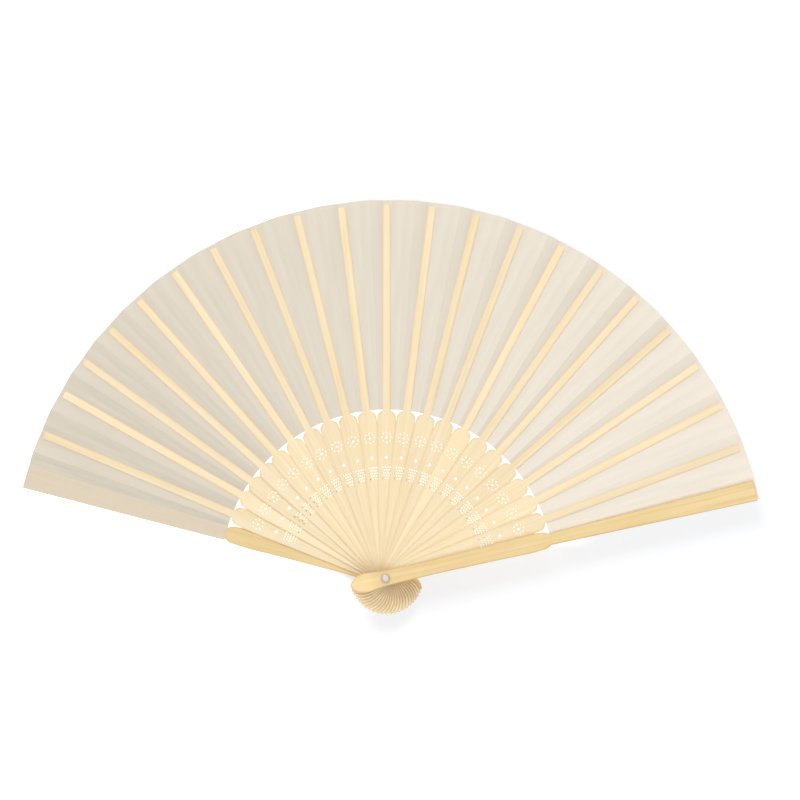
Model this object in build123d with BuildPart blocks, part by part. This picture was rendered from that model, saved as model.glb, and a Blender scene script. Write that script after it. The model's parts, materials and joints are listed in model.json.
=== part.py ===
"""A folding hand fan, lying open on its rear guard.

The origin is where the pivot's axis meets the plane of the rear guard's outer face.
+X runs to the right, +Y along the open fan's middle, away from the pivot, and +Z up
the pivot, from the rear guard to the front guard. Everything is in millimetres.

Each blade, guard or stick, is drawn along the x axis of its own plane: the pivot is at
0 and the tip far out along x. Going clockwise from the rear guard, on the left, every
blade lies one level higher than the one before it.
"""

import os

from build123d import *

# The fan as a whole. Fold n lies between blade n - 1 and blade n, where blade 0 is the
# rear guard. Three folds near the rear guard are a little tighter than the others.
stick_count = 21
even_fold_angle = 6.97
tight_fold_angles = {3: 5.90, 4: 6.35, 5: 6.30}
fold_angles = [
    tight_fold_angles.get(fold, even_fold_angle) for fold in range(1, stick_count + 2)
]
spread_angle = sum(fold_angles)
rear_guard_angle = 90 + spread_angle / 2
front_guard_angle = 90 - spread_angle / 2

# Levels up the pivot
guard_thickness = 2.4
stick_thickness = 0.65
blade_gap = 0.10
stick_pitch = stick_thickness + blade_gap
first_stick_base = guard_thickness + blade_gap
front_guard_base = first_stick_base + stick_count * stick_pitch
front_guard_top = front_guard_base + guard_thickness

# The leaf: one layer of thin cloth, glued under the ribs
leaf_thickness = 0.10
leaf_inner_radius = 85.0
leaf_outer_radius = 191.0
ridge_share = 0.588

# Sticks: a broad pierced lower part, and a slim rib that carries the leaf
tail_length = 18.2
tail_slant_place = 15.2
stick_tail_slant = 3.0
tail_bulb_place = 9.5
stick_tail_half_width = 4.2
stick_pivot_half_width = 3.4
petal_half_width = 4.9
petal_flank_half_width = 4.7
petal_start = 62.0
petal_crown = 74.0
petal_end = 81.2
shoulder_end = 84.5
rib_half_width = 2.0
rib_thickness = 0.35
rib_tip = 189.0
rib_corner = 0.6

# Piercing in each stick's broad part
pinhole_radius = 0.35
band_rows = 5
band_middle = 53.2
band_row_pitch = 1.4
band_hole_pitch = 1.25
dot_place = 61.0
dot_radius = 0.7
flower_place = 71.0
flower_radius = 2.5
flower_petals = 8
flower_heart_radius = 0.5

# Guards: the same outline, thicker, with a strip that widens towards the tip
guard_tail_slant = 3.4
guard_tail_half_width = 4.8
guard_pivot_half_width = 3.8
guard_narrow_place = 25.0
guard_narrow_half_width = 3.6
guard_flank_half_width = 4.3
guard_petal_half_width = 4.6
guard_petal_end = 81.2
guard_shoulder_end = 84.5
strip_root_half_width = 2.9
strip_tip_half_width = 5.1
guard_tip = 190.0
strip_relief = 0.2
leaf_overhang = 0.9
guard_edge_bevel = 0.3

# Pivot: a rivet, its sunk rear head and a washer under each head
shank_radius = 1.2
running_clearance = 0.08
bore_radius = shank_radius + running_clearance
rear_head_radius = 2.3
rear_head_height = 0.8
washer_radius = 2.7
washer_thickness = 0.3
washer_play = 0.05
counterbore_radius = 2.8
counterbore_depth = rear_head_height + washer_thickness
front_head_radius = 2.1
front_head_height = 0.95
front_head_round = 0.8
front_washer_base = front_guard_top + washer_play
front_head_base = front_washer_base + washer_thickness


def blade_plane(angle, height):
    """The plane at this height whose x axis runs along the blade at this angle."""
    along = Vector(1, 0, 0).rotate(Axis.Z, angle)
    return Plane(origin=(0, 0, height), x_dir=along, z_dir=(0, 0, 1))


def stick_angle(number):
    return rear_guard_angle - sum(fold_angles[:number])


def ridge_clockwise(number):
    """Angle from a blade to the leaf's ridge on its clockwise side."""
    return ridge_share * fold_angles[number]


def ridge_counter(number):
    """Angle from a blade to the leaf's ridge on its counter-clockwise side."""
    return (1 - ridge_share) * fold_angles[number - 1]


def stick_base(number):
    return first_stick_base + (number - 1) * stick_pitch


def save(part, name):
    part.label = name
    export_step(part, f"parts/{name}.step")


def stick_outline(plane):
    """The broad lower part: a bulb for a tail, a slow taper out, and rounded shoulders."""
    shoulder = (petal_end + 0.65 * (shoulder_end - petal_end), 0.84 * petal_flank_half_width)
    with BuildSketch(plane) as sketch:
        with BuildLine() as outline:
            ThreePointArc(
                (-tail_length, 0),
                (-tail_slant_place, stick_tail_slant),
                (-tail_bulb_place, stick_tail_half_width),
            )
            Polyline(
                (-tail_bulb_place, stick_tail_half_width),
                (0, stick_pivot_half_width),
                (petal_start, petal_flank_half_width),
            )
            ThreePointArc(
                (petal_start, petal_flank_half_width),
                (petal_crown, petal_half_width),
                (petal_end, petal_flank_half_width),
            )
            ThreePointArc(
                (petal_end, petal_flank_half_width), shoulder, (shoulder_end, rib_half_width)
            )
            Line((shoulder_end, rib_half_width), (shoulder_end, 0))
            mirror(outline.line, about=Plane.XZ)
        make_face()
    return sketch.sketch


def piercing(plane):
    """A band of pinholes, a single larger dot, and a small flower further out."""
    with BuildSketch(plane) as sketch:
        for row in range(band_rows):
            across = 4 - row % 2
            place = band_middle + (row - (band_rows - 1) / 2) * band_row_pitch
            with Locations((place, 0)):
                with GridLocations(0, band_hole_pitch, 1, across):
                    Circle(pinhole_radius)
        with Locations((dot_place, 0)):
            Circle(dot_radius)
        with Locations((flower_place, 0)):
            Circle(flower_heart_radius)
            with PolarLocations(flower_radius, flower_petals):
                Circle(pinhole_radius)
    return sketch.sketch


def make_stick(number):
    angle = stick_angle(number)
    plane = blade_plane(angle, stick_base(number))
    rib_base = stick_base(number) + stick_thickness - rib_thickness
    with BuildPart() as stick:
        extrude(stick_outline(plane), amount=stick_thickness)
        with BuildSketch(blade_plane(angle, rib_base)):
            with BuildLine():
                Polyline(
                    (petal_end, -rib_half_width),
                    (rib_tip - rib_corner, -rib_half_width),
                    (rib_tip, rib_corner - rib_half_width),
                    (rib_tip, rib_half_width - rib_corner),
                    (rib_tip - rib_corner, rib_half_width),
                    (petal_end, rib_half_width),
                    close=True,
                )
            make_face()
        extrude(amount=rib_thickness)
        with BuildSketch(plane):
            Circle(bore_radius)
        extrude(amount=stick_thickness, mode=Mode.SUBTRACT)
        extrude(piercing(plane), amount=stick_thickness, mode=Mode.SUBTRACT)
    save(stick.part, f"stick_{number:02d}")


def guard_outline(plane):
    """The guard's lower part, from its bulb of a tail to the shoulders below the strip."""
    shoulder = (
        guard_petal_end + 0.65 * (guard_shoulder_end - guard_petal_end),
        0.86 * guard_flank_half_width,
    )
    with BuildSketch(plane) as sketch:
        with BuildLine() as outline:
            ThreePointArc(
                (-tail_length, 0),
                (-tail_slant_place, guard_tail_slant),
                (-tail_bulb_place, guard_tail_half_width),
            )
            Polyline(
                (-tail_bulb_place, guard_tail_half_width),
                (0, guard_pivot_half_width),
                (guard_narrow_place, guard_narrow_half_width),
                (petal_start, guard_flank_half_width),
            )
            ThreePointArc(
                (petal_start, guard_flank_half_width),
                (petal_crown, guard_petal_half_width),
                (guard_petal_end, guard_flank_half_width),
            )
            ThreePointArc(
                (guard_petal_end, guard_flank_half_width),
                shoulder,
                (guard_shoulder_end, strip_root_half_width),
            )
            Line((guard_shoulder_end, strip_root_half_width), (guard_shoulder_end, 0))
            mirror(outline.line, about=Plane.XZ)
        make_face()
    return sketch.sketch


def guard_strip(plane):
    """The strip that covers the edge of the leaf, widening to the tip."""
    with BuildSketch(plane) as sketch:
        with BuildLine():
            Polyline(
                (guard_petal_end, -strip_root_half_width),
                (guard_shoulder_end, -strip_root_half_width),
                (guard_tip, -strip_tip_half_width),
                (guard_tip, strip_tip_half_width),
                (guard_shoulder_end, strip_root_half_width),
                (guard_petal_end, strip_root_half_width),
                close=True,
            )
        make_face()
    return sketch.sketch


def make_rear_guard():
    """Outer face down at z = 0, with the counterbore for the rivet's rear head."""
    plane = blade_plane(rear_guard_angle, 0)
    with BuildPart() as guard:
        extrude(guard_outline(plane), amount=guard_thickness)
        extrude(guard_strip(plane), amount=guard_thickness - strip_relief)
        outer_face = guard.faces().sort_by(Axis.Z)[0]
        chamfer(outer_face.edges(), guard_edge_bevel)
        with BuildSketch(plane):
            Circle(bore_radius)
        extrude(amount=guard_thickness, mode=Mode.SUBTRACT)
        with BuildSketch(plane):
            Circle(counterbore_radius)
        extrude(amount=counterbore_depth, mode=Mode.SUBTRACT)
    save(guard.part, "rear_guard")


def make_front_guard():
    """Outer face up. The strip's inner face is relieved to leave room for the leaf."""
    plane = blade_plane(front_guard_angle, front_guard_base)
    strip_plane = blade_plane(front_guard_angle, front_guard_base + strip_relief)
    with BuildPart() as guard:
        extrude(guard_outline(plane), amount=guard_thickness)
        extrude(guard_strip(strip_plane), amount=guard_thickness - strip_relief)
        outer_face = guard.faces().sort_by(Axis.Z)[-1]
        chamfer(outer_face.edges(), guard_edge_bevel)
        with BuildSketch(plane):
            Circle(bore_radius)
        extrude(amount=guard_thickness, mode=Mode.SUBTRACT)
    save(guard.part, "front_guard")


def pleat_sector(number, plane):
    """The leaf from the ridge on one side of a rib to the ridge on its other side."""
    start = Vector(1, 0).rotate(Axis.Z, -ridge_clockwise(number))
    finish = Vector(1, 0).rotate(Axis.Z, ridge_counter(number))
    reach = ridge_clockwise(number) + ridge_counter(number)
    with BuildSketch(plane) as sketch:
        with BuildLine():
            CenterArc((0, 0), leaf_inner_radius, -ridge_clockwise(number), reach)
            CenterArc((0, 0), leaf_outer_radius, -ridge_clockwise(number), reach)
            Line(start * leaf_inner_radius, start * leaf_outer_radius)
            Line(finish * leaf_inner_radius, finish * leaf_outer_radius)
        make_face()
    return sketch.sketch


def make_pleat(number):
    rib_base = stick_base(number) + stick_thickness - rib_thickness
    plane = blade_plane(stick_angle(number), rib_base - leaf_thickness)
    with BuildPart() as pleat:
        extrude(pleat_sector(number, plane), amount=leaf_thickness)
    save(pleat.part, f"leaf_pleat_{number:02d}")


def end_panel(plane, ridge_angle, guard_side, overhang):
    """The leaf from a ridge to the outer edge of a guard's strip, and a little past it.

    guard_side is +1 where that edge is the counter-clockwise one, -1 where it isn't.
    """
    ridge = Vector(1, 0).rotate(Axis.Z, ridge_angle)
    middle = Vector(1, 0)
    root_reach = strip_root_half_width + overhang
    tip_reach = strip_tip_half_width + overhang
    root_corner = Vector(leaf_inner_radius, guard_side * root_reach)
    tip_corner = Vector(leaf_outer_radius, guard_side * tip_reach)
    with BuildSketch(plane) as sketch:
        with BuildLine():
            ThreePointArc(
                ridge * leaf_inner_radius, middle * leaf_inner_radius, root_corner
            )
            Line(root_corner, tip_corner)
            ThreePointArc(
                tip_corner, middle * leaf_outer_radius, ridge * leaf_outer_radius
            )
            Line(ridge * leaf_outer_radius, ridge * leaf_inner_radius)
        make_face()
    return sketch.sketch


def make_rear_end_panel():
    plane = blade_plane(rear_guard_angle, guard_thickness - strip_relief)
    with BuildPart() as panel:
        extrude(
            end_panel(plane, -ridge_clockwise(0), 1, leaf_overhang), amount=leaf_thickness
        )
    save(panel.part, "leaf_end_rear")


def make_front_end_panel():
    height = front_guard_base + strip_relief - leaf_thickness
    plane = blade_plane(front_guard_angle, height)
    ridge_angle = ridge_counter(stick_count + 1)
    with BuildPart() as panel:
        extrude(end_panel(plane, ridge_angle, -1, 0), amount=leaf_thickness)
    save(panel.part, "leaf_end_front")


def make_rivet():
    """A flat rear head, the shank through every blade, and a domed front head."""
    with BuildPart() as rivet:
        with BuildSketch(Plane.XY):
            Circle(rear_head_radius)
        extrude(amount=rear_head_height)
        with BuildSketch(Plane.XY):
            Circle(shank_radius)
        extrude(amount=front_head_base)
        with BuildSketch(Plane.XY.offset(front_head_base)):
            Circle(front_head_radius)
        extrude(amount=front_head_height)
        crown = rivet.faces().sort_by(Axis.Z)[-1]
        fillet(crown.edges(), front_head_round)
    save(rivet.part, "rivet")


def make_washer(name, base):
    with BuildPart() as washer:
        with BuildSketch(Plane.XY.offset(base)):
            Circle(washer_radius)
            Circle(bore_radius, mode=Mode.SUBTRACT)
        extrude(amount=washer_thickness)
    save(washer.part, name)


os.makedirs("parts", exist_ok=True)
make_rear_guard()
make_front_guard()
for stick_number in range(1, stick_count + 1):
    make_stick(stick_number)
    make_pleat(stick_number)
make_rear_end_panel()
make_front_end_panel()
make_rivet()
make_washer("rear_washer", rear_head_height)
make_washer("front_washer", front_washer_base)
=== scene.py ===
"""Looks for an open folding fan: bamboo sticks and guards, a pleated cloth leaf and a metal pivot."""

import json
import math
import random

import bmesh
import bpy
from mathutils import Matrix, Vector


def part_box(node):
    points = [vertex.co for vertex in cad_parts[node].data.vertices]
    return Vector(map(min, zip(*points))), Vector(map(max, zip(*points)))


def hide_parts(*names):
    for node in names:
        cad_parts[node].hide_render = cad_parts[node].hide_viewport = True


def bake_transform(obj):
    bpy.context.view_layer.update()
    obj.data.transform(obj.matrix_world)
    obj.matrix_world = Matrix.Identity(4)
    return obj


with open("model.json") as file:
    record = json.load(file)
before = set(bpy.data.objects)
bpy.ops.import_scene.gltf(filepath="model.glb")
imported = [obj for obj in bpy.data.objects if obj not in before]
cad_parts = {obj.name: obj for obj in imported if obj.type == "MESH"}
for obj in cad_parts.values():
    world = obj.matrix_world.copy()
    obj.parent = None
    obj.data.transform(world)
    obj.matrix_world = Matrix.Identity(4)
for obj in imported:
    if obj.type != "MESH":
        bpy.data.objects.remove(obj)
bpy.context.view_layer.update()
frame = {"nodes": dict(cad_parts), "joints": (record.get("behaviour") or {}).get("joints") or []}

bl_info = {
    "name": "Folding Fan Looks",
    "version": (1, 0, 0),
    "blender": (4, 5, 0),
    "location": "3D View > Sidebar > Fan",
    "description": "Dresses a packed folding fan: leaf, sticks, guards, pivot and stage",
    "category": "Object",
}

MM = 0.001

# The fan's layout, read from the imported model. The hinges run in a chain from the rear
# guard, on the left, to the front guard, on the right, and each blade lies one level
# above the blade before it.
chain = ["rear_guard"] + [joint["child"] for joint in frame["joints"]]
last_blade = len(chain) - 1
folds = [math.radians(joint["range_deg"][1]) for joint in frame["joints"]]
rear_angle = (math.pi + sum(folds)) / 2

# Outlines of the blades, for the painted shade along their edges: (distance from the pivot,
# half width) in millimetres, from the tail's tip outwards. The width stays the same past the last
# pair.
stick_edge = (
    (-18.2, 0.0),
    (-17.4, 1.6),
    (-15.2, 3.0),
    (-12.5, 3.9),
    (-9.5, 4.2),
    (-5.0, 4.0),
    (0.0, 3.4),
    (62.0, 4.7),
    (74.0, 4.9),
    (81.2, 4.7),
    (84.5, 2.2),
    (100.0, 2.0),
)
guard_edge = (
    (-18.2, 0.0),
    (-15.2, 3.4),
    (-9.5, 4.8),
    (0.0, 3.8),
    (25.0, 3.6),
    (62.0, 4.3),
    (81.2, 4.3),
    (84.5, 2.9),
    (190.0, 5.1),
)

# The leaf's edges, as distances from the pivot.
leaf_inner = 85 * MM
leaf_outer = 191 * MM

# Away from the front guard, each pleat's ridge rises by this share of the full rise more.
rise_step = 0.18

# How far the cloth reaches over the front guard's strip, as a share of its half width.
tuck_share = 0.85


def blade_angle(number):
    """Direction of a blade in the plan: 0 is the rear guard, last_blade the front one."""
    return rear_angle - sum(folds[:number])


def leaf_node(number):
    """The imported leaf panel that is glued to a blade."""
    if number == 0:
        return "leaf_end_rear"
    if number == last_blade:
        return "leaf_end_front"
    return f"leaf_pleat_{number:02d}"


def cloth_level(number):
    """Height of the cloth at a blade, at the middle of its thickness."""
    low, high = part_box(leaf_node(number))
    return (low.z + high.z) / 2


class FanLeafSettings(bpy.types.PropertyGroup):
    """Sizes and colours of the cloth leaf."""

    ridge_rise: bpy.props.FloatProperty(
        name="Ridge rise",
        description="How far a pleat's ridge stands above the ribs at the outer edge",
        default=2.5 * MM,
        unit="LENGTH",
    )
    first_rise_share: bpy.props.FloatProperty(
        name="First rise share",
        description="Share of the ridge rise in the pleat beside the rear guard",
        default=0.8,
        subtype="FACTOR",
    )
    last_rise_share: bpy.props.FloatProperty(
        name="Last rise share",
        description="Share of the ridge rise in the pleat pulled flattest, at the front guard",
        default=0.24,
        subtype="FACTOR",
    )
    ridge_share_rear: bpy.props.FloatProperty(
        name="Ridge share at the rear",
        description="Where the ridge lies between two blades, next to the rear guard",
        default=0.57,
        subtype="FACTOR",
    )
    ridge_share_front: bpy.props.FloatProperty(
        name="Ridge share at the front",
        description="Where the ridge lies between two blades, next to the front guard",
        default=0.69,
        subtype="FACTOR",
    )
    thickness: bpy.props.FloatProperty(
        name="Thickness",
        description="Thickness of the cloth",
        default=0.12 * MM,
        unit="LENGTH",
    )
    rib_half_width: bpy.props.FloatProperty(
        name="Rib half width",
        description="Half the width of the rib that covers the cloth",
        default=2.0 * MM,
        unit="LENGTH",
    )
    strip_root_half_width: bpy.props.FloatProperty(
        name="Strip half width at its root",
        description="Half the width of a guard's strip at the leaf's inner edge",
        default=2.9 * MM,
        unit="LENGTH",
    )
    strip_tip_half_width: bpy.props.FloatProperty(
        name="Strip half width at its tip",
        description="Half the width of a guard's strip at the leaf's outer edge",
        default=5.1 * MM,
        unit="LENGTH",
    )
    glue_margin: bpy.props.FloatProperty(
        name="Glue margin",
        description="How far the glued cloth reaches past each side of the rear strip",
        default=0.8 * MM,
        unit="LENGTH",
    )
    ripple: bpy.props.FloatProperty(
        name="Ripple",
        description="Height of the soft ripples in the free panels",
        default=0.16 * MM,
        unit="LENGTH",
    )
    # Painted shade and light: the cloth's colour is darker next to the rear guard, near the table,
    # and lighter next to the front guard. This stands in for the light that comes through the sheer
    # cloth from beneath.
    colour_rear_shaded: bpy.props.FloatVectorProperty(
        name="Cloth colour at the rear",
        description="Colour of the sheer cloth next to the rear guard, near the table",
        default=(0.62, 0.555, 0.455),
        subtype="COLOR",
        size=3,
    )
    colour_front_lit: bpy.props.FloatVectorProperty(
        name="Cloth colour at the front",
        description="Colour of the sheer cloth next to the front guard, high above the table",
        default=(0.75, 0.68, 0.58),
        subtype="COLOR",
        size=3,
    )
    colour_glued: bpy.props.FloatVectorProperty(
        name="Glued cloth colour",
        description="Colour of the cloth where glue lets the wood show through",
        default=(0.68, 0.56, 0.39),
        subtype="COLOR",
        size=3,
    )


class FanWoodSettings(bpy.types.PropertyGroup):
    """Colours of the sticks and guards."""

    stick_light: bpy.props.FloatVectorProperty(
        name="Stick colour",
        description="Light colour of the sticks' wood",
        default=(0.83, 0.70, 0.475),
        subtype="COLOR",
        size=3,
    )
    stick_dark: bpy.props.FloatVectorProperty(
        name="Stick grain colour",
        description="Colour of the darker fibres in the sticks",
        default=(0.75, 0.585, 0.335),
        subtype="COLOR",
        size=3,
    )
    guard_light: bpy.props.FloatVectorProperty(
        name="Guard colour",
        description="Light colour of the guards' wood",
        default=(0.75, 0.58, 0.30),
        subtype="COLOR",
        size=3,
    )
    guard_dark: bpy.props.FloatVectorProperty(
        name="Guard grain colour",
        description="Colour of the darker fibres in the guards",
        default=(0.645, 0.45, 0.185),
        subtype="COLOR",
        size=3,
    )
    # Painted shade: a brown band along each blade's edges stands in for the shade where the stacked
    # blades step down one to the next. The strengths below give how much at the tail, above the pivot
    # and on the guards.
    edge_shade_colour: bpy.props.FloatVectorProperty(
        name="Cut edge colour",
        description="Colour of the wood browned where it was cut",
        default=(0.46, 0.27, 0.10),
        subtype="COLOR",
        size=3,
    )
    # Painted light: the wood is made lighter at the tails below the pivot. This stands in for the
    # strong light that falls on them.
    tail_painted_light: bpy.props.FloatProperty(
        name="Tail lift",
        description="How much lighter the wood is at the polished tails",
        default=1.13,
    )
    edge_shade_tail: bpy.props.FloatProperty(
        name="Cut edge at the tail",
        description="How brown the sticks' edges are below the pivot",
        default=0.66,
        subtype="FACTOR",
    )
    edge_shade_gorge: bpy.props.FloatProperty(
        name="Cut edge above the pivot",
        description="How brown the sticks' edges are between the pivot and the cloth",
        default=0.15,
        subtype="FACTOR",
    )
    edge_shade_guard: bpy.props.FloatProperty(
        name="Cut edge of the guards",
        description="How brown the guards' edges are, all along",
        default=0.25,
        subtype="FACTOR",
    )
    roughness: bpy.props.FloatProperty(
        name="Roughness",
        description="Roughness of the smoothed wood",
        default=0.48,
        min=0.0,
        max=1.0,
        subtype="FACTOR",
    )


class FanPivotSettings(bpy.types.PropertyGroup):
    """Finish of the rivet and its washers."""

    rivet_colour: bpy.props.FloatVectorProperty(
        name="Rivet colour",
        description="Colour of the rivet's metal",
        default=(0.64, 0.60, 0.55),
        subtype="COLOR",
        size=3,
    )
    washer_colour: bpy.props.FloatVectorProperty(
        name="Washer colour",
        description="Colour of the washers' metal",
        default=(0.66, 0.48, 0.30),
        subtype="COLOR",
        size=3,
    )


class FanStageSettings(bpy.types.PropertyGroup):
    """Camera, floor and light."""

    camera_distance: bpy.props.FloatProperty(
        name="Camera distance",
        description="Distance from the camera to the point that it looks at",
        default=2.0,
        unit="LENGTH",
    )
    camera_tilt: bpy.props.FloatProperty(
        name="Camera tilt",
        description="Angle between the camera's line of sight and the pivot's axis",
        default=math.radians(3.6),
        subtype="ANGLE",
    )
    camera_azimuth: bpy.props.FloatProperty(
        name="Camera azimuth",
        description="Direction, from +X, towards which the camera leans",
        default=math.radians(-47.3),
        subtype="ANGLE",
    )
    camera_roll: bpy.props.FloatProperty(
        name="Camera roll",
        description="Turn of the picture about the line of sight",
        default=math.radians(-1.09),
        subtype="ANGLE",
    )
    camera_lens: bpy.props.FloatProperty(
        name="Camera lens",
        description="Focal length of the camera, in millimetres",
        default=178.35,
    )
    aim: bpy.props.FloatVectorProperty(
        name="Aim",
        description="The point that the camera looks at",
        default=(0.0049, 0.0900, 0.010),
        subtype="TRANSLATION",
        size=3,
    )
    floor_colour: bpy.props.FloatVectorProperty(
        name="Floor colour",
        description="Colour of the plain floor",
        default=(0.44, 0.45, 0.47),
        subtype="COLOR",
        size=3,
    )
    # The floor gives off light though it is no lamp. Brighter to the left and through the gaps, it is
    # painted light that hides the fan's shadow there.
    floor_glow: bpy.props.FloatProperty(
        name="Floor glow",
        description="Light given off by the floor, which is a lit white table",
        default=0.52,
    )
    floor_glow_bright: bpy.props.FloatProperty(
        name="Bright floor glow",
        description="The same where no shadow shows, to the left and through the gaps",
        default=0.90,
    )
    floor_slope: bpy.props.FloatProperty(
        name="Floor slope",
        description="Slope of the floor under the fan, which leans on its sticks' tips",
        default=0.047,
    )
    sun_strength: bpy.props.FloatProperty(
        name="Main light", description="Strength of the main light", default=1.35
    )
    sun_azimuth: bpy.props.FloatProperty(
        name="Main light azimuth",
        description="Direction, from +X, that the main light comes from",
        default=math.radians(112),
        subtype="ANGLE",
    )
    sun_elevation: bpy.props.FloatProperty(
        name="Main light elevation",
        description="Height of the main light above the floor",
        default=math.radians(50),
        subtype="ANGLE",
    )
    sun_spread: bpy.props.FloatProperty(
        name="Main light spread",
        description="Apparent size of the main light, which softens its shadows",
        default=math.radians(26),
        subtype="ANGLE",
    )
    top_strength: bpy.props.FloatProperty(
        name="Top light", description="Strength of the light from overhead", default=1.0
    )
    sky_strength: bpy.props.FloatProperty(
        name="Fill light", description="Strength of the light from all round", default=0.55
    )


# Materials

# Painted edge shade: how far in from the edge the painted shade starts and is full, and where along
# a blade its strength changes from the tail's to the upper part's.
edge_shade_band = (0.85 * MM, 0.25 * MM)
edge_shade_change = (-6 * MM, 8 * MM)
widest_half = 10 * MM

# Where along a blade the painted light at the tail starts and is at its strongest.
tail_fade = (-3 * MM, -9 * MM)

# Noise scales, per metre, along a blade's length, width and thickness.
fibre_scale = (40, 3600, 900)
streak_scale = (9, 700, 300)
cloud_scale = (30, 120, 100)

# Noise scales, per metre, across a pleat and outwards along it.
slub_scale = (900, 14, 1)
shimmer_scale = (160, 22, 1)
blotch_scale = (520, 260, 1)
weave_scale = 560.0

# The glued cloth's colour against the free cloth beside it, before the wood shows through.
glued_shade = 0.93

rivet_roughness = 0.55
washer_roughness = 0.50

# A Mix node's colour sockets have the same names as its number sockets, so they are
# taken by their places.
mix_first = 6
mix_second = 7
mix_result = 2


def start_material(name):
    """A new node material and its Principled shader."""
    material = bpy.data.materials.new(name)
    material.use_nodes = True
    shader = material.node_tree.nodes["Principled BSDF"]
    return material, shader


def add_node(material, kind, **values):
    """A node of this kind with some of its properties or input sockets set."""
    node = material.node_tree.nodes.new(kind)
    for key, value in values.items():
        if key in node.inputs:
            node.inputs[key].default_value = value
        else:
            setattr(node, key, value)
    return node


def join(material, source, target):
    material.node_tree.links.new(source, target)


def stretched_noise(material, coordinates, stretch, shift, detail):
    """Noise drawn out by its scale along each axis, as fibres and threads are."""
    place = add_node(material, "ShaderNodeMapping")
    place.inputs["Scale"].default_value = stretch
    place.inputs["Location"].default_value = shift
    noise = add_node(material, "ShaderNodeTexNoise", Scale=1.0, Detail=detail)
    join(material, coordinates, place.inputs["Vector"])
    join(material, place.outputs["Vector"], noise.inputs["Vector"])
    return noise.outputs["Fac"]


def ramp(material, factor, stops):
    """A colour ramp through (position, colour) stops."""
    node = add_node(material, "ShaderNodeValToRGB")
    elements = node.color_ramp.elements
    while len(elements) < len(stops):
        elements.new(0.5)
    for element, (position, colour) in zip(elements, stops):
        element.position = position
        element.color = (*colour, 1.0)
    join(material, factor, node.inputs["Fac"])
    return node.outputs["Color"]


def fade(material, value, start, end):
    """From 0 where the value is at its start to 1 at its end."""
    node = add_node(material, "ShaderNodeMapRange", interpolation_type="SMOOTHSTEP")
    node.inputs["From Min"].default_value = start
    node.inputs["From Max"].default_value = end
    join(material, value, node.inputs["Value"])
    return node.outputs["Result"]


def rescale(material, value, source, target):
    """Carries a value evenly from one range to another, and holds it at both ends."""
    node = add_node(material, "ShaderNodeMapRange")
    node.inputs["From Min"].default_value = source[0]
    node.inputs["From Max"].default_value = source[1]
    node.inputs["To Min"].default_value = target[0]
    node.inputs["To Max"].default_value = target[1]
    join(material, value, node.inputs["Value"])
    return node.outputs["Result"]


def mix_values(material, share, first, second):
    """A fixed mix of two values, with this share of the second."""
    node = add_node(material, "ShaderNodeMix", data_type="FLOAT")
    node.inputs["Factor"].default_value = share
    join(material, first, node.inputs["A"])
    join(material, second, node.inputs["B"])
    return node.outputs["Result"]


def mix_colours(material, factor, first, second):
    """From the first colour to the second, which may be a socket or a plain colour."""
    node = add_node(material, "ShaderNodeMix", data_type="RGBA")
    join(material, factor, node.inputs["Factor"])
    join(material, first, node.inputs[mix_first])
    if isinstance(second, bpy.types.NodeSocket):
        join(material, second, node.inputs[mix_second])
    else:
        node.inputs[mix_second].default_value = (*second, 1.0)
    return node.outputs[mix_result]


def combine(material, operation, first, second):
    node = add_node(material, "ShaderNodeMath", operation=operation)
    join(material, first, node.inputs[0])
    join(material, second, node.inputs[1])
    return node.outputs["Value"]


def add_bump(material, shader, height, strength, depth):
    bump = add_node(material, "ShaderNodeBump", Strength=strength, Distance=depth)
    join(material, height, bump.inputs["Height"])
    join(material, bump.outputs["Normal"], shader.inputs["Normal"])


def shade(colour, factor):
    return tuple(min(1.0, part * factor) for part in colour)


def painted_edge_shade(material, axes, outline, tail_share, gorge_share):
    """How much painted shade lies along the edge, where the blades step down, from 0 to 1: most at
    the tail, less past the pivot.
    """
    start, end = outline[0][0] * MM, outline[-1][0] * MM
    stops = []
    for distance, half in outline:
        level = half * MM / widest_half
        stops.append(((distance * MM - start) / (end - start), (level, level, level)))
    share = rescale(material, axes.outputs["X"], (start, end), (0, 1))
    half_width = rescale(material, ramp(material, share, stops), (0, 1), (0, widest_half))
    aside = add_node(material, "ShaderNodeMath", operation="ABSOLUTE")
    join(material, axes.outputs["Y"], aside.inputs[0])
    inset = combine(material, "SUBTRACT", half_width, aside.outputs["Value"])
    edge = fade(material, inset, *edge_shade_band)
    strength = rescale(material, axes.outputs["X"], edge_shade_change, (tail_share, gorge_share))
    return combine(material, "MULTIPLY", edge, strength)


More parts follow.
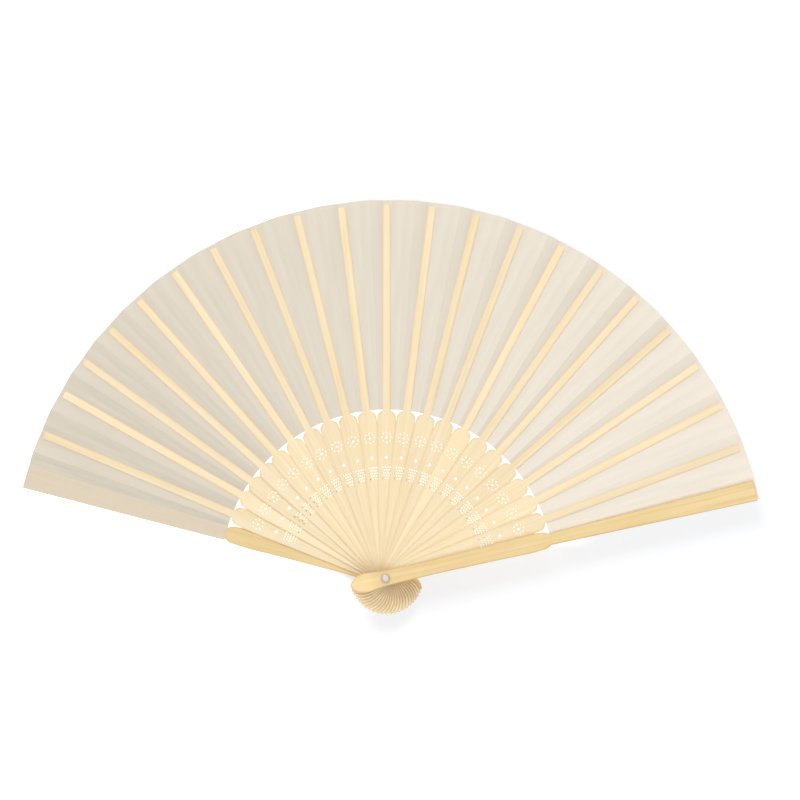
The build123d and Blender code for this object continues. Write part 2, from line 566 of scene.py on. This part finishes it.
def wood_material(name, light, dark, angle, seed, settings, outline, shares):
    """Bleached bamboo: straight fibres and slow streaks along it, painted shade along the edges where
    the blades step down, and painted light at the tails.
    """
    material, shader = start_material(name)
    chance = random.Random(seed)
    tone = 1 + chance.uniform(-0.04, 0.04)
    shift = (chance.uniform(0, 50), chance.uniform(0, 50), chance.uniform(0, 50))
    place = add_node(material, "ShaderNodeTexCoord")
    turn = add_node(material, "ShaderNodeMapping")
    turn.inputs["Rotation"].default_value = (0, 0, -angle)
    join(material, place.outputs["Object"], turn.inputs["Vector"])
    along = turn.outputs["Vector"]
    axes = add_node(material, "ShaderNodeSeparateXYZ")
    join(material, along, axes.inputs["Vector"])
    fibres = stretched_noise(material, along, fibre_scale, shift, 3.0)
    streaks = stretched_noise(material, along, streak_scale, shift, 2.0)
    clouds = stretched_noise(material, along, cloud_scale, shift, 2.0)
    grain = mix_values(material, 0.55, fibres, streaks)
    grain = mix_values(material, 0.22, grain, clouds)
    stops = ((0.32, shade(dark, tone)), (0.62, shade(light, tone)))
    # A lighter copy of the wood for the tails: painted light.
    tail_stops = tuple((at, shade(colour, settings.tail_painted_light)) for at, colour in stops)
    body = ramp(material, grain, stops)
    painted_lit_tail = ramp(material, grain, tail_stops)
    tail = fade(material, axes.outputs["X"], *tail_fade)
    # Painted shade along the edges, where the blades step down one to the next.
    edge_shade_mask = painted_edge_shade(material, axes, outline, *shares)
    colour = mix_colours(material, tail, body, painted_lit_tail)
    colour = mix_colours(material, edge_shade_mask, colour, settings.edge_shade_colour)
    join(material, colour, shader.inputs["Base Color"])
    roughness = settings.roughness
    gloss = rescale(material, fibres, (0, 1), (roughness - 0.08, roughness + 0.14))
    join(material, gloss, shader.inputs["Roughness"])
    add_bump(material, shader, fibres, 0.25, 0.08 * MM)
    return material


def cloth_material(name, colour, glued=None):
    """Thin silk-like cloth: a fine plain weave, drawn threads and a soft sheen.

    Where it is glued to the wood, blotches of the glued colour show through.
    """
    material, shader = start_material(name)
    place = add_node(material, "ShaderNodeTexCoord")
    flat = place.outputs["UV"]
    threads = []
    for direction in ("X", "Y"):
        wave = add_node(
            material,
            "ShaderNodeTexWave",
            bands_direction=direction,
            Scale=weave_scale,
            Distortion=0.6,
            Detail=1.0,
        )
        join(material, flat, wave.inputs["Vector"])
        threads.append(wave.outputs["Fac"])
    weave = combine(material, "MAXIMUM", *threads)
    slubs = stretched_noise(material, flat, slub_scale, (3, 7, 0), 3.0)
    shimmer = stretched_noise(material, flat, shimmer_scale, (11, 2, 0), 2.0)
    tone = mix_values(material, 0.5, slubs, shimmer)
    stops = ((0.36, shade(colour, 0.955)), (0.64, shade(colour, 1.03)))
    woven = ramp(material, tone, stops)
    if glued is not None:
        blotches = stretched_noise(material, flat, blotch_scale, (5, 1, 0), 4.0)
        mask = rescale(material, blotches, (0.30, 0.70), (0.35, 0.65))
        woven = mix_colours(material, mask, woven, glued)
    join(material, woven, shader.inputs["Base Color"])
    shader.inputs["Roughness"].default_value = 0.62
    shader.inputs["Sheen Weight"].default_value = 0.25
    shader.inputs["Sheen Roughness"].default_value = 0.4
    add_bump(material, shader, weave, 0.25, 0.04 * MM)
    return material


def metal_material(name, colour, roughness):
    """Turned metal with fine circular marks about the pivot's axis."""
    material, shader = start_material(name)
    place = add_node(material, "ShaderNodeTexCoord")
    rings = add_node(
        material,
        "ShaderNodeTexWave",
        wave_type="RINGS",
        rings_direction="Z",
        Scale=900.0,
        Distortion=1.5,
    )
    join(material, place.outputs["Object"], rings.inputs["Vector"])
    spots = stretched_noise(material, place.outputs["Object"], (900, 900, 900), (0, 0, 0), 3.0)
    stops = ((0.3, shade(colour, 0.93)), (0.7, colour))
    join(material, ramp(material, spots, stops), shader.inputs["Base Color"])
    gloss = rescale(material, spots, (0, 1), (roughness, roughness + 0.12))
    join(material, gloss, shader.inputs["Roughness"])
    shader.inputs["Metallic"].default_value = 1.0
    add_bump(material, shader, rings.outputs["Fac"], 0.1, 0.02 * MM)
    return material


def dress(node, material):
    """Gives a carried-over CAD node its material."""
    slots = frame["nodes"][node].data.materials
    slots.clear()
    slots.append(material)


# The leaf


def cover_half_width(number, radius, settings):
    """Half the width of what covers the cloth at a blade: a rib, or a guard's strip."""
    if 0 < number < last_blade:
        return settings.rib_half_width
    share = (radius - leaf_inner) / (leaf_outer - leaf_inner)
    root, tip = settings.strip_root_half_width, settings.strip_tip_half_width
    return root + share * (tip - root)


class Pleat:
    """The cloth from one blade, clockwise to the next.

    It runs flat under the first blade, up a free panel to the ridge, down the second
    panel, and flat under the next blade. Angles fall as it goes.
    """

    rows = 44
    flat_columns = 2
    up_columns = 12
    down_columns = 7
    columns = up_columns + down_columns + 2 * flat_columns
    creases = (flat_columns, flat_columns + up_columns, flat_columns + up_columns + down_columns)

    # Each ripple: its waves outwards along the panel and across it, and its share of the height.
    ripples = ((1.6, 0.35, 1.0), (4.3, -0.8, 0.45), (0.7, 2.4, 0.4))

    def __init__(self, number, settings):
        self.number = number
        self.settings = settings
        chance = random.Random(100 + number)
        self.phases = [chance.uniform(0, 2 * math.pi) for _ in self.ripples]
        along = number / (last_blade - 1)
        rear, front = settings.ridge_share_rear, settings.ridge_share_front
        self.ridge_share = rear + along * (front - rear)
        from_front = last_blade - 1 - number
        rise_share = min(1, settings.last_rise_share + rise_step * from_front)
        self.rise = settings.ridge_rise * rise_share
        if number == 0:
            self.rise *= settings.first_rise_share

    def lines(self, radius):
        """Angles of the five fold and edge lines at this radius, from first to last."""
        settings = self.settings
        first = blade_angle(self.number)
        second = blade_angle(self.number + 1)
        first_half = cover_half_width(self.number, radius, settings)
        second_half = cover_half_width(self.number + 1, radius, settings)
        start, valley = first, first - math.asin(first_half / radius)
        if self.number == 0:
            start = first + math.asin((first_half + settings.glue_margin) / radius)
            valley = first - math.asin((first_half + settings.glue_margin) / radius)
        finish = second
        if self.number + 1 == last_blade:
            finish = second - math.asin(tuck_share * second_half / radius)
        ridge = first - self.ridge_share * folds[self.number]
        foot = second + math.asin(second_half / radius)
        return start, valley, ridge, foot, finish

    def spot(self, column, radius):
        """(angle, height, share of the turn) of the cloth at a column and a radius."""
        settings = self.settings
        start, valley, ridge, foot, finish = self.lines(radius)
        low = cloth_level(self.number)
        high = cloth_level(self.number + 1)
        crest = low + self.ridge_share * (high - low)
        crest += self.rise * radius / leaf_outer
        if column <= self.flat_columns:
            share = column / self.flat_columns
            return start + share * (valley - start), low, 0.0
        column -= self.flat_columns
        if column <= self.up_columns:
            share = column / self.up_columns
            height = low + share * (crest - low) + self.waves(share, radius)
            return valley + share * (ridge - valley), height, share
        column -= self.up_columns
        if column <= self.down_columns:
            share = column / self.down_columns
            height = crest + share * (high - crest)
            return ridge + share * (foot - ridge), height, 1.0
        share = (column - self.down_columns) / self.flat_columns
        return foot + share * (finish - foot), high, 1.0

    def waves(self, share, radius):
        """Soft ripples of the free panel, none at its two folds."""
        along = (radius - leaf_inner) / (leaf_outer - leaf_inner)
        swell = math.sin(math.pi * share) * (0.35 + 0.65 * along)
        height = 0.0
        for (out_waves, cross_waves, size), phase in zip(self.ripples, self.phases):
            turns = out_waves * along + cross_waves * share
            height += size * math.sin(2 * math.pi * turns + phase)
        return self.settings.ripple * swell * height


def make_pleat(number, settings, cloth, glued):
    """One pleat as a sheet of quads, with flat coordinates in metres for the weave."""
    pleat = Pleat(number, settings)
    mesh = bpy.data.meshes.new(f"leaf_{number + 1:02d}")
    shape = bmesh.new()
    bmesh.ops.create_grid(shape, x_segments=pleat.columns, y_segments=pleat.rows, size=0.5)
    uv_layer = shape.loops.layers.uv.new("Flat")
    depth = leaf_outer - leaf_inner
    middle = (blade_angle(number) + blade_angle(number + 1)) / 2
    flat_places, shares = {}, {}
    for vert in shape.verts:
        column = round((vert.co.x + 0.5) * pleat.columns)
        radius = leaf_inner + (vert.co.y + 0.5) * depth
        angle, height, share = pleat.spot(column, radius)
        vert.co = (radius * math.cos(angle), radius * math.sin(angle), height)
        flat_places[vert.index] = ((middle - angle) * radius, radius)
        shares[vert.index] = share
    shape.faces.ensure_lookup_table()
    for face in shape.faces:
        face.smooth = True
        for loop in face.loops:
            loop[uv_layer].uv = flat_places[loop.vert.index]
        if number == 0 and max(shares[vert.index] for vert in face.verts) == 0.0:
            face.material_index = 1
    mark_creases(shape, pleat)
    bmesh.ops.recalc_face_normals(shape, faces=shape.faces)
    if shape.faces[0].normal.z < 0:
        bmesh.ops.reverse_faces(shape, faces=shape.faces)
    shape.to_mesh(mesh)
    shape.free()
    mesh.materials.append(cloth)
    mesh.materials.append(glued)
    piece = bpy.data.objects.new(mesh.name, mesh)
    bpy.context.scene.collection.objects.link(piece)
    shell = piece.modifiers.new("Cloth thickness", "SOLIDIFY")
    shell.thickness = settings.thickness
    shell.offset = 0.0
    attach_pleat(piece, pleat)
    return piece


def mark_creases(shape, pleat):
    """Keeps the fold lines and the borders sharp under smooth shading."""
    width = pleat.columns + 1
    for edge in shape.edges:
        first, second = edge.verts
        same_column = first.index % width == second.index % width
        on_crease = same_column and first.index % width in pleat.creases
        if on_crease or edge.is_boundary:
            edge.smooth = False


def attach_pleat(piece, pleat):
    number = pleat.number
    middle = (leaf_inner + leaf_outer) / 2
    for angle in pleat.lines(middle)[1:3]:
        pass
    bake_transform(piece)
    nodes = [leaf_node(number + 1)]
    if number == 0:
        nodes.append(leaf_node(0))
    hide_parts(*nodes)
    width, area = flat_size(pleat)


def flat_size(pleat):
    """(width at the outer edge, area) of a pleat's cloth laid flat, in metres."""
    widths = []
    for radius in (leaf_inner, leaf_outer):
        start, valley, ridge, foot, finish = pleat.lines(radius)
        rise = pleat.rise * radius / leaf_outer
        free = math.hypot(radius * (valley - ridge), rise)
        down = math.hypot(radius * (ridge - foot), rise)
        widths.append(radius * (start - valley) + free + down + radius * (foot - finish))
    area = (widths[0] + widths[1]) / 2 * (leaf_outer - leaf_inner)
    return widths[1], area


class FAN_OT_make_leaf(bpy.types.Operator):
    """Make the pleated cloth leaf, one pleat for each pair of neighbouring blades"""

    bl_idname = "fan.make_leaf"
    bl_label = "Make Leaf"

    def execute(self, context):
        settings = context.scene.fan_leaf
        # The pleats' colours run from the painted shade at the rear guard to the painted light at the
        # front guard. The glued cloth is made from the rear's shaded colour.
        rear, front = Vector(settings.colour_rear_shaded), Vector(settings.colour_front_lit)
        glued = cloth_material("leaf_cloth_glued", tuple(glued_shade * rear), settings.colour_glued)
        for number in range(last_blade):
            colour = rear.lerp(front, number / (last_blade - 1))
            cloth = cloth_material(f"leaf_cloth_{number + 1:02d}", tuple(colour))
            make_pleat(number, settings, cloth, glued)
        return {"FINISHED"}


class FAN_OT_dress_sticks(bpy.types.Operator):
    """Give every stick its own piece of pale bamboo"""

    bl_idname = "fan.dress_sticks"
    bl_label = "Dress Sticks"

    def execute(self, context):
        settings = context.scene.fan_wood
        for number in range(1, last_blade):
            material = wood_material(
                f"stick_wood_{number:02d}",
                settings.stick_light,
                settings.stick_dark,
                blade_angle(number),
                number,
                settings,
                stick_edge,
                (settings.edge_shade_tail, settings.edge_shade_gorge),
            )
            dress(chain[number], material)
        return {"FINISHED"}


class FAN_OT_dress_guards(bpy.types.Operator):
    """Give the two guards their warmer, coarser bamboo"""

    bl_idname = "fan.dress_guards"
    bl_label = "Dress Guards"

    def execute(self, context):
        settings = context.scene.fan_wood
        for number in (0, last_blade):
            material = wood_material(
                f"guard_wood_{number:02d}",
                settings.guard_light,
                settings.guard_dark,
                blade_angle(number),
                40 + number,
                settings,
                guard_edge,
                (settings.edge_shade_guard, settings.edge_shade_guard),
            )
            dress(chain[number], material)
        return {"FINISHED"}


class FAN_OT_dress_pivot(bpy.types.Operator):
    """Give the rivet and its washers their metal"""

    bl_idname = "fan.dress_pivot"
    bl_label = "Dress Pivot"

    def execute(self, context):
        settings = context.scene.fan_pivot
        rivet = metal_material("rivet_metal", settings.rivet_colour, rivet_roughness)
        washer = metal_material("washer_metal", settings.washer_colour, washer_roughness)
        dress("rivet", rivet)
        dress("rear_washer", washer)
        dress("front_washer", washer)
        return {"FINISHED"}


# The stage

floor_reach = 3.0
floor_gap = 0.05 * MM

# Where the table's painted light goes from its ordinary strength to its brightest, hiding the
# shadows: along Y from the tails to the pierced part, in distance from the pivot, and along X towards
# the left.
bright_past_tails = (16 * MM, 26 * MM)
bright_near_pivot = (108 * MM, 92 * MM)
bright_left = (-15 * MM, -45 * MM)

# The overhead light's spread, and the direction that it comes from.
top_spread = math.radians(50)
top_direction = (0.12, -0.28, 0.95)


def painted_floor_light(material, settings):
    """Painted light given off by the table, though it is no lamp: strongest under the pierced part
    and to the left of it, where it hides the fan's shadows.
    """
    place = add_node(material, "ShaderNodeTexCoord")
    axes = add_node(material, "ShaderNodeSeparateXYZ")
    join(material, place.outputs["Object"], axes.inputs["Vector"])
    reach = add_node(material, "ShaderNodeVectorMath", operation="LENGTH")
    join(material, place.outputs["Object"], reach.inputs[0])
    above = fade(material, axes.outputs["Y"], *bright_past_tails)
    near = fade(material, reach.outputs["Value"], *bright_near_pivot)
    left = fade(material, axes.outputs["X"], *bright_left)
    bright = combine(material, "MAXIMUM", combine(material, "MULTIPLY", above, near), left)
    return rescale(material, bright, (0, 1), (settings.floor_glow, settings.floor_glow_bright))


def make_floor(settings):
    """A wide plain floor under the rear guard, which meets the sticks' tips."""
    mesh = bpy.data.meshes.new("floor")
    shape = bmesh.new()
    bmesh.ops.create_grid(shape, x_segments=1, y_segments=1, size=floor_reach)
    across = Vector((math.sin(rear_angle), -math.cos(rear_angle), 0))
    for vert in shape.verts:
        vert.co.z = settings.floor_slope * vert.co.dot(across) - floor_gap
    shape.to_mesh(mesh)
    shape.free()
    material, shader = start_material("floor_paper")
    shader.inputs["Base Color"].default_value = (*settings.floor_colour, 1.0)
    shader.inputs["Roughness"].default_value = 0.9
    shader.inputs["Specular IOR Level"].default_value = 0.1
    shader.inputs["Emission Color"].default_value = (1.0, 1.0, 1.0, 1.0)
    glow = painted_floor_light(material, settings)
    join(material, glow, shader.inputs["Emission Strength"])
    mesh.materials.append(material)
    floor = bpy.data.objects.new("floor", mesh)
    bpy.context.scene.collection.objects.link(floor)


def make_camera(settings):
    """Looks down on the fan, nearly along the pivot's axis."""
    data = bpy.data.cameras.new("camera")
    data.lens = settings.camera_lens
    data.clip_end = 20.0
    camera = bpy.data.objects.new("camera", data)
    tilt, azimuth = settings.camera_tilt, settings.camera_azimuth
    lean = Vector((math.cos(azimuth), math.sin(azimuth), 0)) * math.sin(tilt)
    back = lean + Vector((0, 0, math.cos(tilt)))
    camera.location = Vector(settings.aim) + back * settings.camera_distance
    right = Vector((math.cos(settings.camera_roll), -math.sin(settings.camera_roll), 0))
    up = back.cross(right).normalized()
    right = up.cross(back).normalized()
    turn = camera.matrix_world.to_3x3()
    turn.col[0], turn.col[1], turn.col[2] = right, up, back
    camera.rotation_mode = "QUATERNION"
    camera.rotation_quaternion = turn.to_quaternion()
    bpy.context.scene.collection.objects.link(camera)
    bpy.context.scene.camera = camera


def add_sun(name, strength, spread, direction):
    """A far light that comes from this direction. Its spread softens the shadows."""
    data = bpy.data.lights.new(name, "SUN")
    data.energy = strength
    data.angle = spread
    light = bpy.data.objects.new(name, data)
    light.rotation_mode = "QUATERNION"
    light.rotation_quaternion = Vector(direction).to_track_quat("Z", "Y")
    bpy.context.scene.collection.objects.link(light)


def make_lights(settings):
    """A soft light from beyond the leaf, one from overhead, and fill from all round."""
    azimuth, elevation = settings.sun_azimuth, settings.sun_elevation
    level = math.cos(elevation)
    direction = (math.cos(azimuth) * level, math.sin(azimuth) * level, math.sin(elevation))
    add_sun("main_light", settings.sun_strength, settings.sun_spread, direction)
    add_sun("top_light", settings.top_strength, top_spread, top_direction)
    world = bpy.data.worlds.new("studio")
    world.use_nodes = True
    background = world.node_tree.nodes["Background"]
    background.inputs["Color"].default_value = (1.0, 1.0, 1.0, 1.0)
    background.inputs["Strength"].default_value = settings.sky_strength
    bpy.context.scene.world = world


class FAN_OT_set_stage(bpy.types.Operator):
    """Set the floor, the camera and the lights"""

    bl_idname = "fan.set_stage"
    bl_label = "Set Stage"

    def execute(self, context):
        settings = context.scene.fan_stage
        make_floor(settings)
        make_camera(settings)
        make_lights(settings)
        context.scene.view_settings.view_transform = "Standard"
        return {"FINISHED"}


class FAN_PT_panel(bpy.types.Panel):
    """Lists the steps that dress the fan"""

    bl_idname = "FAN_PT_panel"
    bl_label = "Folding Fan"
    bl_space_type = "VIEW_3D"
    bl_region_type = "UI"
    bl_category = "Fan"

    def draw(self, context):
        for operator in OPERATORS:
            self.layout.operator(operator.bl_idname)
        for name in SETTINGS:
            group = getattr(context.scene, name)
            box = self.layout.box()
            for key in group.bl_rna.properties.keys():
                if key not in {"rna_type", "name"}:
                    box.prop(group, key)


SETTINGS = {
    "fan_leaf": FanLeafSettings,
    "fan_wood": FanWoodSettings,
    "fan_pivot": FanPivotSettings,
    "fan_stage": FanStageSettings,
}
OPERATORS = (
    FAN_OT_set_stage,
    FAN_OT_dress_sticks,
    FAN_OT_dress_guards,
    FAN_OT_dress_pivot,
    FAN_OT_make_leaf,
)


def register():
    for group in SETTINGS.values():
        bpy.utils.register_class(group)
    for operator in OPERATORS:
        bpy.utils.register_class(operator)
    bpy.utils.register_class(FAN_PT_panel)
    for name, group in SETTINGS.items():
        setattr(bpy.types.Scene, name, bpy.props.PointerProperty(type=group))


def unregister():
    for name in SETTINGS:
        delattr(bpy.types.Scene, name)
    bpy.utils.unregister_class(FAN_PT_panel)
    for operator in OPERATORS:
        bpy.utils.unregister_class(operator)
    for group in SETTINGS.values():
        bpy.utils.unregister_class(group)


def main():
    register()
    bpy.ops.fan.set_stage()
    bpy.ops.fan.dress_sticks()
    bpy.ops.fan.dress_guards()
    bpy.ops.fan.dress_pivot()
    bpy.ops.fan.make_leaf()


if __name__ == "__main__":
    main()
